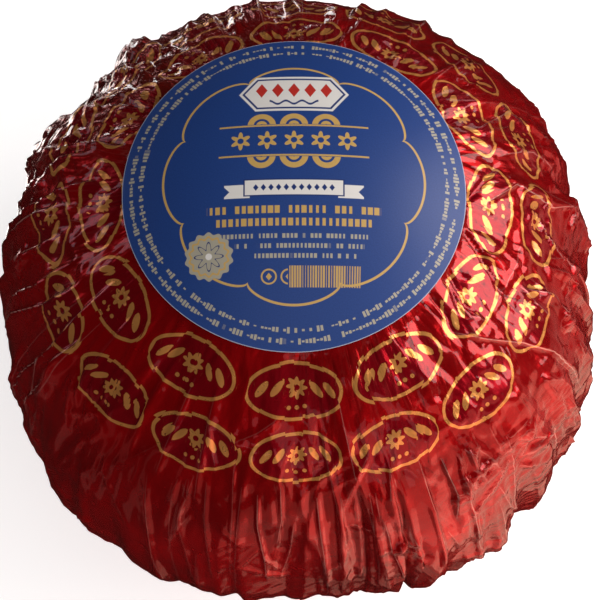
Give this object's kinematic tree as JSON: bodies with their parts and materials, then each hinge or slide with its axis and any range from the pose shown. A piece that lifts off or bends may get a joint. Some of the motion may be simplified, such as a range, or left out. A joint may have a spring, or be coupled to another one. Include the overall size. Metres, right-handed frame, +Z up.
{
  "type": "ball of cheese",
  "caption": "Whole ball of semi-hard cheese shut in pleated red metallised film, with a round blue paper label on its crown; it stands on a small flat on its underside.",
  "frame": {"origin": "centre of the bounding box on the ground plane, at the level of the flat that the ball rests on", "axes": "+Z up through the crown and the label, -Y towards the foot of the label's design, +X to the design's right"},
  "size_m": [0.1792, 0.1796, 0.1627],
  "materials": {
    "film": "glossy metallised film, dark red, creased and pleated, with gold print",
    "label_paper": "satin printed paper, deep blue with gold and white print"
  },
  "bodies": {
    "root": {"wrapped_ball": "film", "label": "label_paper"}
  },
  "joints": []
}
